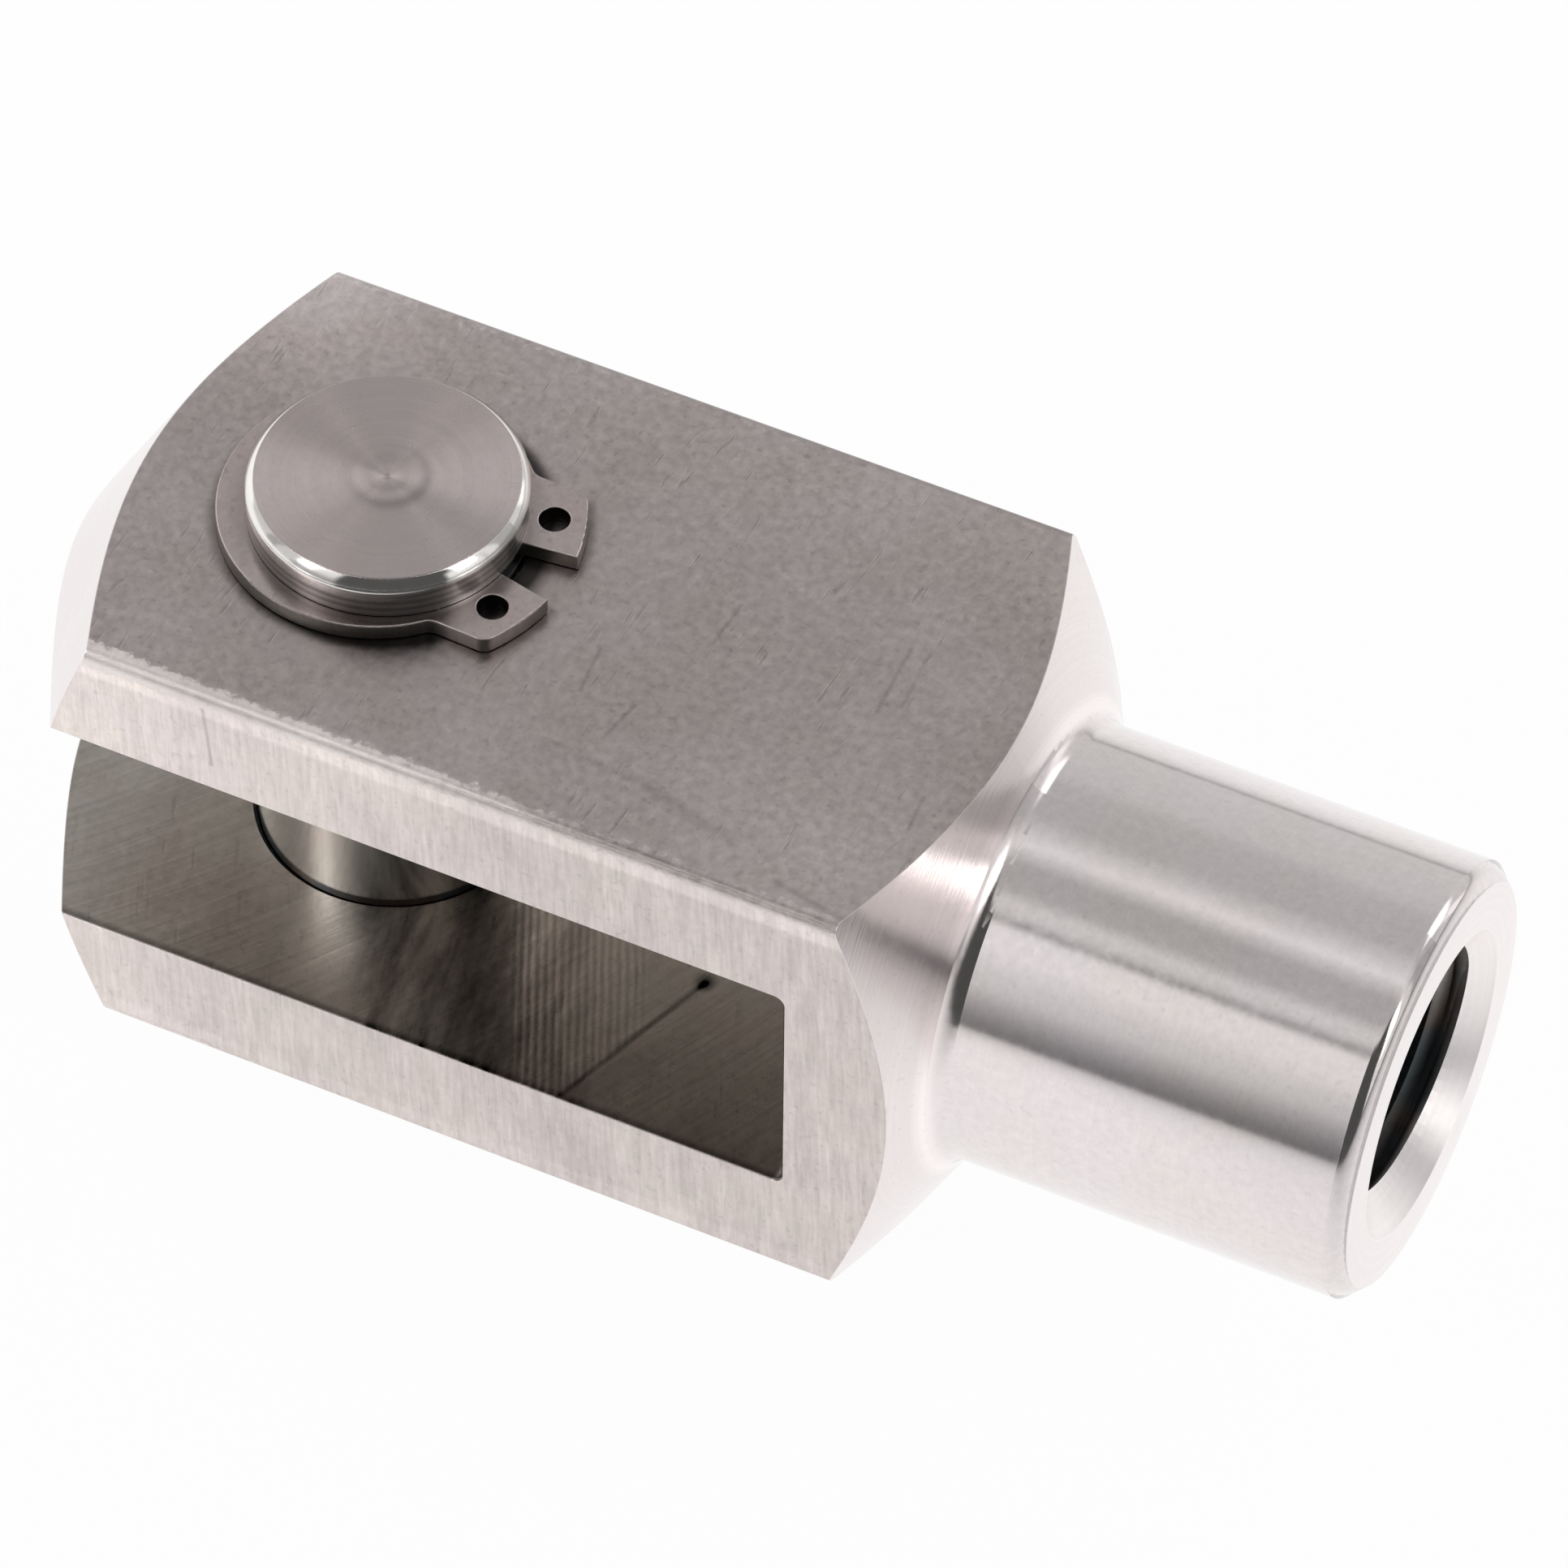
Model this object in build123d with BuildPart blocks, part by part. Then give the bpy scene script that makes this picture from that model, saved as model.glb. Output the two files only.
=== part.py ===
from build123d import *

import os
from math import radians, sqrt, tan

# Clevis rod end for a 16 mm pin: a fork cut from square bar, its pin, and a retaining ring at each
# end of the pin.
#
# Frame: the origin is the middle of the pin, where its axis crosses the rod's axis. +X runs along
# the rod's axis and out of the neck, +Z runs along the pin, and the slot opens towards -X.
# Millimetres and degrees throughout.

# ------------------------------------------------------------------------------ driving sizes

# The square bar. Its long edges are rounded as drawn.
bar_side = 32.0
bar_edge_radius = 0.7

# Lengths along the rod's axis
fork_overhang = 19.0  # pin axis to the open end of the fork
slot_depth = 32.0  # pin axis to the closed end of the slot
web_thickness = 8.0  # closed end of the slot to the root of the neck
neck_length = 24.5  # root of the neck to its end face

# Slot between the two ears
slot_width = 16.4
slot_corner_radius = 0.6
slot_edge_break = 0.1

# Cones turned on both ends of the square. Each angle is measured from a plane across the axis.
fork_face_radius = 8.1
fork_cone_angle = 29.3
shoulder_cone_angle = 27.9

# Neck
neck_radius = 13.0
neck_root_fillet = 1.2
neck_end_chamfer = 1.0

# Tapped hole in the neck: M16 with a 2 mm pitch. The wall stands at the thread's major radius.
thread_radius = 8.0
thread_pitch = 2.0
thread_length = 24.0
thread_mouth_chamfer = 1.2
core_bore_edge_break = 0.5

# Pin
pin_radius = 8.0
pin_end_land = 2.65  # ring groove to the end of the pin
pin_end_chamfer = 0.5
pin_running_clearance = 0.05  # radial, in the fork's cross hole
cross_hole_edge_break = 0.25

# Retaining ring grooves in the pin
groove_depth = 0.4
groove_side_clearance = 0.05  # each side of the ring
ring_end_play = 0.1  # between each ring and the fork

# Retaining rings, stamped from sheet
ring_thickness = 1.0
ring_bottom_clearance = 0.02  # radial, to the bottom of the groove
ring_back_width = 2.2  # opposite the gap
ring_tip_width = 0.75  # beside the lugs
ring_edge_radius = 0.1
lug_height = 3.6  # from the ring's inner edge
lug_span = 12.2  # across both lugs
lug_corner_radius = 0.9
lug_root_radius = 1.0
lug_hole_radius = 0.875
lug_hole_height = 1.73  # from the ring's inner edge
lug_hole_angle = 23.0  # from the middle of the gap
gap_angle = 18.0  # between the two lugs
upper_gap_direction = -2.5  # from +X, about +Z
lower_gap_direction = 150.0

# ------------------------------------------------------------------------------ sizes that follow

half_bar = bar_side / 2
fork_end_x = -fork_overhang
neck_root_x = slot_depth + web_thickness
neck_end_x = neck_root_x + neck_length

# The turned blank is as wide as the square bar's sharp corners would be.
blank_radius = bar_side / sqrt(2)
fork_cone_end_x = fork_end_x + (blank_radius - fork_face_radius) * tan(radians(fork_cone_angle))
shoulder_start_x = neck_root_x - (blank_radius - neck_radius) * tan(radians(shoulder_cone_angle))

# An internal thread takes five eighths of the height of the sharp 60 degree V.
thread_height = 5 / 8 * sqrt(3) / 2 * thread_pitch
core_bore_radius = thread_radius - thread_height
thread_end_x = neck_end_x - thread_length

ring_face_z = half_bar + ring_end_play
groove_width = ring_thickness + 2 * groove_side_clearance
groove_start_z = ring_face_z - groove_side_clearance
groove_end_z = groove_start_z + groove_width
groove_radius = pin_radius - groove_depth
pin_end_z = groove_end_z + pin_end_land
cross_hole_radius = pin_radius + pin_running_clearance

ring_inner_radius = groove_radius + ring_bottom_clearance
ring_outer_radius = ring_inner_radius + (ring_back_width + ring_tip_width) / 2
ring_centre_offset = (ring_back_width - ring_tip_width) / 2
lug_tip_radius = ring_inner_radius + lug_height
lug_hole_centre_radius = ring_inner_radius + lug_hole_height
gap_wedge_length = 2 * lug_tip_radius
gap_wedge_half_width = gap_wedge_length * tan(radians(gap_angle / 2))

os.makedirs("parts", exist_ok=True)

# ------------------------------------------------------------------------------ fork

with BuildPart() as fork:
    # Turned blank: the open end's cone, the shoulder's cone and the neck.
    with BuildSketch(Plane.XZ) as blank_profile:
        with BuildLine():
            Polyline(
                (fork_end_x, 0),
                (fork_end_x, fork_face_radius),
                (fork_cone_end_x, blank_radius),
                (shoulder_start_x, blank_radius),
                (neck_root_x, neck_radius),
                (neck_end_x, neck_radius),
                (neck_end_x, 0),
                close=True,
            )
        make_face()
        neck_root = blank_profile.vertices().sort_by_distance((neck_root_x, neck_radius))[0]
        fillet(neck_root, radius=neck_root_fillet)
        neck_rim = blank_profile.vertices().sort_by_distance((neck_end_x, neck_radius))[0]
        chamfer(neck_rim, length=neck_end_chamfer)
    revolve(axis=Axis.X)

    # The square bar's four flats, which meet the cones in curved edges.
    with BuildSketch(Plane.YZ.offset(fork_end_x)):
        RectangleRounded(bar_side, bar_side, bar_edge_radius)
    extrude(amount=neck_end_x - fork_end_x, mode=Mode.INTERSECT)

    # Slot, milled straight through from side to side.
    with BuildSketch(Plane.XZ) as slot_profile:
        with Locations((slot_depth, 0)):
            Rectangle(slot_depth + bar_side, slot_width, align=(Align.MAX, Align.CENTER))
        closed_end = slot_profile.vertices().group_by(Axis.X)[-1]
        fillet(closed_end, radius=slot_corner_radius)
    extrude(amount=bar_side, both=True, mode=Mode.SUBTRACT)
    slot_rims = fork.edges(Select.LAST).filter_by(GeomType.LINE).filter_by(Axis.X)
    chamfer(slot_rims, length=slot_edge_break)

    # Cross hole for the pin, through both ears, its four rims broken.
    Hole(radius=cross_hole_radius)
    chamfer(fork.edges(Select.LAST).filter_by(GeomType.CIRCLE), length=cross_hole_edge_break)

    # Tapped hole in the neck. Its core bore runs on into the slot.
    with BuildSketch(Plane.XZ):
        with BuildLine():
            Polyline(
                (neck_end_x, 0),
                (neck_end_x, thread_radius + thread_mouth_chamfer),
                (neck_end_x - thread_mouth_chamfer, thread_radius),
                (thread_end_x, thread_radius),
                (thread_end_x - thread_height, core_bore_radius),
                (slot_depth + core_bore_edge_break, core_bore_radius),
                (slot_depth, core_bore_radius + core_bore_edge_break),
                (slot_depth, 0),
                close=True,
            )
        make_face()
    revolve(axis=Axis.X, mode=Mode.SUBTRACT)
fork.part.label = "fork"
export_step(fork.part, "parts/fork.step")

# ------------------------------------------------------------------------------ pin

with BuildPart() as pin:
    Cylinder(pin_radius, 2 * pin_end_z)
    chamfer(pin.edges().filter_by(GeomType.CIRCLE), length=pin_end_chamfer)

    # A groove for a retaining ring near each end.
    for groove_z in (groove_start_z, -groove_end_z):
        with BuildSketch(Plane.XY.offset(groove_z)):
            Circle(pin_radius + groove_depth)
            Circle(groove_radius, mode=Mode.SUBTRACT)
        extrude(amount=groove_width, mode=Mode.SUBTRACT)
pin.part.label = "pin"
export_step(pin.part, "parts/pin.step")

# ------------------------------------------------------------------------------ retaining rings

# The two rings are alike. Each lies outside its ear with its rounded edges facing outwards.
for ring_name, side, gap_direction in (
    ("upper_retaining_ring", 1, upper_gap_direction),
    ("lower_retaining_ring", -1, lower_gap_direction),
):
    with BuildPart() as ring:
        ring_plane = Plane.XY.offset(side * ring_face_z).rotated((0, 0, gap_direction))
        with BuildSketch(ring_plane) as outline:
            # Both lugs as one blank with a round tip
            Circle(lug_tip_radius)
            Rectangle(
                lug_tip_radius, lug_span, align=(Align.MIN, Align.CENTER), mode=Mode.INTERSECT
            )
            lug_backs = outline.vertices().group_by(Axis.X)[-1]
            fillet(lug_backs, radius=lug_corner_radius)

            # The ring is widest opposite its gap, because its outer circle is off centre. The
            # lugs stand on it in hollow corners.
            with Locations((-ring_centre_offset, 0)):
                Circle(ring_outer_radius)
            lug_roots = outline.vertices().group_by(Axis.X)[0]
            fillet(lug_roots, radius=lug_root_radius)
            Circle(ring_inner_radius, mode=Mode.SUBTRACT)

            # The gap between the lugs, with radial sides
            with BuildLine():
                Polyline(
                    (0, 0),
                    (gap_wedge_length, -gap_wedge_half_width),
                    (gap_wedge_length, gap_wedge_half_width),
                    close=True,
                )
            make_face(mode=Mode.SUBTRACT)

            # A hole for the pliers in each lug
            for lug_angle in (-lug_hole_angle, lug_hole_angle):
                with PolarLocations(lug_hole_centre_radius, 1, start_angle=lug_angle):
                    Circle(lug_hole_radius, mode=Mode.SUBTRACT)
        extrude(amount=side * ring_thickness)
        outward_face = ring.faces().sort_by(Axis.Z)[-1 if side > 0 else 0]
        fillet(outward_face.edges(), radius=ring_edge_radius)
    ring.part.label = ring_name
    export_step(ring.part, f"parts/{ring_name}.step")
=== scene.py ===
import logging
import math
from dataclasses import dataclass, replace
from enum import Enum

import bmesh
import bpy
from mathutils import Matrix, Vector


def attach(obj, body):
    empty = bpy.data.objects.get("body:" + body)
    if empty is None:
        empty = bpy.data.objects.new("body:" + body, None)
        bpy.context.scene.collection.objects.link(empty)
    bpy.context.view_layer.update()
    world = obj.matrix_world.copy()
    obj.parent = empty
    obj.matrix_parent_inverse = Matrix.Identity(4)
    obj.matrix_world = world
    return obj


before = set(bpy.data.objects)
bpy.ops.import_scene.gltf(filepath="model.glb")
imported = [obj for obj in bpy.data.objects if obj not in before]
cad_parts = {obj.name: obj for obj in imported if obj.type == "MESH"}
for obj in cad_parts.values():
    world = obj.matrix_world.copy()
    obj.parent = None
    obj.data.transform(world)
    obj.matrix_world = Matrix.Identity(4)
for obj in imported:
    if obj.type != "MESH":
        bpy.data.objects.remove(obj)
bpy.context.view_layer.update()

log = logging.getLogger("clevis_rod_end")

MM = 0.001
# A point this far from a face, in millimetres, still counts as on it, and from the second distance
# on it doesn't.
ON_FACE = 0.02
OFF_FACE = 0.06

Colour = tuple[float, float, float]
Settings = dict[str, object]
Inputs = dict[str | int, object]
Socket = bpy.types.NodeSocket

WHITE: Colour = (1.0, 1.0, 1.0)


class Side(Enum):
    """The two ends of the pin, named by the way they face."""

    UPPER = "upper"
    LOWER = "lower"


# -------------------- shader maths


@dataclass(frozen=True)
class Wire:
    """One number between shader nodes, so that shader maths reads as plain expressions."""

    graph: "Graph"
    socket: Socket

    def __add__(self, other: "Number") -> "Wire":
        """Sum."""
        return self.graph.math("ADD", self, other)

    __radd__ = __add__

    def __sub__(self, other: "Number") -> "Wire":
        """Difference."""
        return self.graph.math("SUBTRACT", self, other)

    def __rsub__(self, other: "Number") -> "Wire":
        """Difference, with the number on the left."""
        return self.graph.math("SUBTRACT", other, self)

    def __mul__(self, other: "Number") -> "Wire":
        """Product."""
        return self.graph.math("MULTIPLY", self, other)

    __rmul__ = __mul__

    def __truediv__(self, other: "Number") -> "Wire":
        """Quotient."""
        return self.graph.math("DIVIDE", self, other)

    def __rtruediv__(self, other: "Number") -> "Wire":
        """Quotient, with the number on the left."""
        return self.graph.math("DIVIDE", other, self)

    def __neg__(self) -> "Wire":
        """The same number with its sign turned."""
        return self.graph.math("MULTIPLY", self, -1.0)

    def __abs__(self) -> "Wire":
        """The same number without its sign."""
        return self.graph.math("ABSOLUTE", self)

    def least(self, other: "Number") -> "Wire":
        """The smaller of two numbers."""
        return self.graph.math("MINIMUM", self, other)

    def most(self, other: "Number") -> "Wire":
        """The larger of two numbers."""
        return self.graph.math("MAXIMUM", self, other)

    def sine(self) -> "Wire":
        """The sine, of an angle in radians."""
        return self.graph.math("SINE", self)

    def clamped(self) -> "Wire":
        """The number kept between 0 and 1."""
        return Wire(self.graph, self.graph.node("ShaderNodeClamp", None, {0: self}).outputs[0])

    def rise(self, low: float, high: float, top: float = 1.0) -> "Wire":
        """A smooth step from 0 at low to 1 at high; low may be the larger, and then it falls.

        Args:
            low: The number where the step is 0.
            high: The number where the step has its full height.
            top: The full height.

        Returns:
            The step.
        """
        made = self.graph.node(
            "ShaderNodeMapRange",
            {"interpolation_type": "SMOOTHSTEP"},
            {"Value": self, "From Min": low, "From Max": high, "To Max": top},
        )
        return Wire(self.graph, made.outputs["Result"])

    def band(self, middle: float, reach: float) -> "Wire":
        """1 at the middle, falling smoothly to 0 at the reach on both sides."""
        return abs(self - middle).rise(reach, 0.0)

    def up_to(self, face: float) -> "Wire":
        """1 before a face and on it, and 0 past it."""
        return self.rise(face + OFF_FACE, face + ON_FACE)

    def from_face(self, face: float) -> "Wire":
        """1 on a face and past it, and 0 before it."""
        return self.rise(face - OFF_FACE, face - ON_FACE)

    def between(self, low: float, high: float, edge: float) -> "Wire":
        """1 between two limits, falling to 0 over the edge width outside them."""
        return self.rise(low - edge, low) * self.rise(high + edge, high)


Number = Wire | float


class Graph:
    """A shader node tree, and the nodes that finishes are written with."""

    def __init__(self, tree: bpy.types.NodeTree) -> None:
        """Takes a tree and empties it.

        Args:
            tree: The node tree of a material or of the world.
        """
        self.tree = tree
        self.tree.nodes.clear()

    def feed(self, socket: Socket, value: object) -> None:
        """Gives a socket its value, or links what makes it.

        Args:
            socket: The input to feed.
            value: A wire, an output socket, a number or a tuple.
        """
        if isinstance(value, Wire):
            self.tree.links.new(value.socket, socket)
        elif isinstance(value, bpy.types.NodeSocket):
            self.tree.links.new(value, socket)
        elif isinstance(value, tuple) and socket.type == "RGBA" and len(value) == 3:
            socket.default_value = (*value, 1.0)
        else:
            socket.default_value = value

    def node(
        self, kind: str, settings: Settings | None = None, inputs: Inputs | None = None
    ) -> bpy.types.Node:
        """Adds one node.

        Args:
            kind: Blender's name of the node's type.
            settings: Properties set before the sockets; "stops" is a colour ramp's list of
                (position, grey level).
            inputs: What feeds each input, by name or index.

        Returns:
            The node.
        """
        made = self.tree.nodes.new(kind)
        for name, value in (settings or {}).items():
            if name == "stops":
                self._set_stops(made.color_ramp, value)
            else:
                setattr(made, name, value)
        for key, value in (inputs or {}).items():
            self.feed(made.inputs[key], value)
        return made

    @staticmethod
    def _set_stops(ramp: bpy.types.ColorRamp, stops: list[tuple[float, float]]) -> None:
        """Sets a colour ramp's stops.

        Args:
            ramp: The ramp.
            stops: Their (position, grey level) pairs.
        """
        while len(ramp.elements) > 1:
            ramp.elements.remove(ramp.elements[-1])
        for index, (position, level) in enumerate(stops):
            stop = ramp.elements[0] if index == 0 else ramp.elements.new(position)
            stop.position = position
            stop.color = (level, level, level, 1.0)

    def math(self, operation: str, *numbers: Number) -> Wire:
        """One Math node.

        Args:
            operation: Blender's name of the operation.
            numbers: What feeds its inputs, in their order.

        Returns:
            The result.
        """
        made = self.node("ShaderNodeMath", {"operation": operation}, dict(enumerate(numbers)))
        return Wire(self, made.outputs[0])

    def vector(self, x: Number, y: Number, z: Number = 0.0) -> Socket:
        """Three numbers as one vector."""
        return self.node("ShaderNodeCombineXYZ", None, {0: x, 1: y, 2: z}).outputs[0]

    def split(self, vector: object) -> tuple[Wire, Wire, Wire]:
        """A vector's three numbers."""
        made = self.node("ShaderNodeSeparateXYZ", None, {0: vector})
        return tuple(Wire(self, out) for out in made.outputs)

    def vector_math(self, operation: str, *vectors: object) -> bpy.types.Node:
        """One Vector Math node.

        Args:
            operation: Blender's name of the operation.
            vectors: What feeds its inputs, in their order.

        Returns:
            The node.
        """
        return self.node("ShaderNodeVectorMath", {"operation": operation}, dict(enumerate(vectors)))

    def length(self, a: Number, b: Number) -> Wire:
        """How long the vector with these two parts is."""
        return Wire(self, self.vector_math("LENGTH", self.vector(a, b)).outputs["Value"])

    def dot(self, first: object, second: object) -> Wire:
        """The sum of the products of two vectors' parts."""
        return Wire(self, self.vector_math("DOT_PRODUCT", first, second).outputs["Value"])

    def noise(
        self, at: Socket, scale: float = 1.0, detail: float = 2.0, roughness: float = 0.5
    ) -> Wire:
        """Smooth noise between 0 and 1.

        Args:
            at: Where the noise is read.
            scale: How many lumps there are in one unit of the coordinates.
            detail: How many finer layers are added.
            roughness: How strong the finer layers are.

        Returns:
            The noise.
        """
        made = self.node(
            "ShaderNodeTexNoise",
            {"noise_dimensions": "3D"},
            {"Vector": at, "Scale": scale, "Detail": detail, "Roughness": roughness},
        )
        return Wire(self, made.outputs[0])

    def mix(self, share: Number, first: Number, second: Number) -> Wire:
        """The first number where the share is 0, and the second where it is 1."""
        made = self.node("ShaderNodeMix", {"data_type": "FLOAT"}, {0: share, 2: first, 3: second})
        return Wire(self, made.outputs[0])

    def mix_vectors(self, share: Number, first: object, second: object) -> Socket:
        """The first vector where the share is 0, and the second where it is 1."""
        made = self.node("ShaderNodeMix", {"data_type": "VECTOR"}, {0: share, 4: first, 5: second})
        return made.outputs[1]

    def blend(self, share: Number, first: object, second: object) -> Socket:
        """The first colour where the share is 0, and the second where it is 1."""
        made = self.node("ShaderNodeMix", {"data_type": "RGBA"}, {0: share, 6: first, 7: second})
        return made.outputs[2]

    def scaled(self, colour: object, factor: Number) -> Socket:
        """A colour made lighter or darker by a factor."""
        fed = {0: colour, "Scale": factor}
        return self.node("ShaderNodeVectorMath", {"operation": "SCALE"}, fed).outputs[0]


# -------------------- metal surfaces


@dataclass(frozen=True)
class Finish:
    """A metal finish: its even look, and how strongly each kind of mark shows on it.

    The shares are parts of the colour's brightness, and the depths are in millimetres.
    """

    colour: Colour
    patches: Colour
    roughness: float
    cloud: float = 0.10
    mottle: float = 0.10
    grain: float = 0.10
    scratch: float = 0.0
    speck: float = 0.0
    spread: float = 0.05
    mottle_depth: float = 0.001
    grain_depth: float = 0.002
    scratch_depth: float = 0.0


@dataclass(frozen=True)
class Stroke:
    """One long mark on a flat face, placed in the face's own two directions in millimetres.

    Its darkness is the share of light that it takes away, so that below 0 it is a light mark.
    """

    start: tuple[float, float]
    end: tuple[float, float]
    reach: float
    darkness: float


@dataclass(frozen=True)
class Surface:
    """A surface in the making, one finish lying over another wherever its share is 1."""

    graph: Graph
    colour: object
    patches: object
    grain_at: object
    scratch_at: object
    shares: object
    marks: object
    depths: object
    roughness: Number
    tint: Number
    relief: Number

    def under(self, other: "Surface", share: Number) -> "Surface":
        """This surface with another over it.

        Args:
            other: The surface on top.
            share: 1 where the other surface shows, and 0 where this one does.

        Returns:
            The two as one surface.
        """
        graph = self.graph
        ways = (
            (graph.blend, ("colour", "patches")),
            (graph.mix_vectors, ("grain_at", "scratch_at", "shares", "marks", "depths")),
            (graph.mix, ("roughness", "tint", "relief")),
        )
        mixed = {}
        for mix, names in ways:
            for name in names:
                mixed[name] = mix(share, getattr(self, name), getattr(other, name))
        return Surface(graph=graph, **mixed)


class MetalShader:
    """A metal material whose surface is worked out from a point's place on the part."""

    def __init__(self, name: str) -> None:
        """Makes the material and reads a point's place in millimetres.

        Args:
            name: The material's name.
        """
        self.material = bpy.data.materials.new(name)
        self.material.use_nodes = True
        self.graph = Graph(self.material.node_tree)
        metres = self.graph.node("ShaderNodeTexCoord").outputs["Object"]
        self.place = self.graph.scaled(metres, 1.0 / MM)
        self.x, self.y, self.z = self.graph.split(self.place)
        self.cloud = self.graph.noise(self.place, 0.14, 2.0, 0.55)
        self.mottle = self.graph.noise(self.place, 1.7, 3.0, 0.65)
        self.speck = self.graph.noise(self.place, 2.6, 0.0).rise(0.70, 0.82)
        self.patchy = self.graph.noise(self.place, 0.35, 1.0).rise(0.44, 0.60)

    def surface(
        self,
        finish: Finish,
        grain_at: Socket,
        scratch_at: Socket | None = None,
        tint: Number = 1.0,
        relief: Number = 0.0,
    ) -> Surface:
        """A finish, laid the way its tool went.

        Args:
            finish: The finish.
            grain_at: Where its grain is read, in lumps.
            scratch_at: Where its scratches are read, in lumps.
            tint: A factor on its colour.
            relief: Height of its own besides the common marks', in millimetres.

        Returns:
            The surface.
        """
        return Surface(
            graph=self.graph,
            colour=finish.colour,
            patches=finish.patches,
            grain_at=grain_at,
            scratch_at=scratch_at or grain_at,
            shares=(finish.cloud, finish.mottle, finish.grain),
            marks=(finish.scratch, finish.speck, finish.spread),
            depths=(finish.mottle_depth, finish.grain_depth, finish.scratch_depth),
            roughness=finish.roughness,
            tint=tint,
            relief=relief,
        )

    def marked(self, along: Wire, across: Wire, strokes: tuple[Stroke, ...]) -> Wire:
        """The light that all the strokes on a face take away together.

        Args:
            along: The point's place in the face's first direction.
            across: Its place in the second.
            strokes: The strokes, each darkest on its line.

        Returns:
            The sum of what they take.
        """
        graph = self.graph
        place = graph.vector(along, across)
        taken: Number = 0.0
        for stroke in strokes:
            run = Vector((*stroke.end, 0.0)) - Vector((*stroke.start, 0.0))
            from_start = graph.vector_math("SUBTRACT", place, (*stroke.start, 0.0)).outputs[0]
            part = graph.dot(from_start, tuple(run / run.length_squared)).clamped()
            on_line = graph.scaled(tuple(run), part)
            away = graph.vector_math("DISTANCE", from_start, on_line).outputs["Value"]
            taken = taken + Wire(graph, away).rise(stroke.reach, 0.0, stroke.darkness)
        return taken

    @staticmethod
    def rounded(slope: Wire, leg: float, turn: float, tilt: float = 0.0) -> Wire:
        """The height that makes a narrow chamfer of 45 degrees look rounded over.

        Args:
            slope: The point's place along the axis less that away from it, 0 in mid-chamfer.
            leg: How far the chamfer reaches along the axis.
            turn: How steep the height is at the chamfer's two ends.
            tilt: How steep it is in the middle.

        Returns:
            The height in millimetres, even beyond the chamfer.
        """
        half_length = leg / math.sqrt(2.0)
        along = (slope / math.sqrt(2.0)).least(half_length).most(-half_length)
        return along * (tilt - along * (0.5 * turn / half_length))

    def finish(self, surface: Surface, anisotropy: float = 0.0) -> bpy.types.Material:
        """Ends the material with its metal shader.

        Args:
            surface: What the whole part looks like.
            anisotropy: How far the marks round the part's own Z axis stretch reflections.

        Returns:
            The finished material.
        """
        graph = self.graph
        grain = graph.noise(surface.grain_at, 1.0, 2.0, 0.6)
        scratch = graph.noise(surface.scratch_at, 1.0, 1.0).rise(0.60, 0.72) * self.patchy
        scratch_share, speck_share, spread = graph.split(surface.marks)
        uneven = graph.vector(self.cloud - 0.5, self.mottle - 0.5, grain - 0.5)
        light = 1.0 + graph.dot(surface.shares, uneven)
        light = light - scratch * scratch_share - self.speck * speck_share
        colour = graph.blend(self.cloud.rise(0.42, 0.58), surface.colour, surface.patches)
        lumps = graph.vector(self.mottle - 0.5, grain - 0.5, -scratch)
        height = graph.dot(surface.depths, lumps) + surface.relief
        bump = graph.node(
            "ShaderNodeBump", None, {"Strength": 1.0, "Distance": MM, "Height": height}
        )
        metal = graph.node(
            "ShaderNodeBsdfPrincipled",
            None,
            {
                "Base Color": graph.scaled(colour, surface.tint * light),
                "Metallic": 1.0,
                "Anisotropic": anisotropy,
                "Anisotropic Rotation": 0.25,
                "Roughness": surface.roughness + (self.mottle - 0.5) * spread,
                "Normal": bump.outputs["Normal"],
            },
        )
        graph.node("ShaderNodeOutputMaterial", None, {"Surface": metal.outputs[0]})
        return self.material


def dress(node: str, material: bpy.types.Material) -> None:
    """Gives a CAD node's object its material, in every slot it has.

    Args:
        node: The node's name.
        material: The material.
    """
    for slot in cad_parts[node].material_slots:
        slot.material = material
    log.info("%s: dressed in %s", node, material.name)


# -------------------- fork


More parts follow.
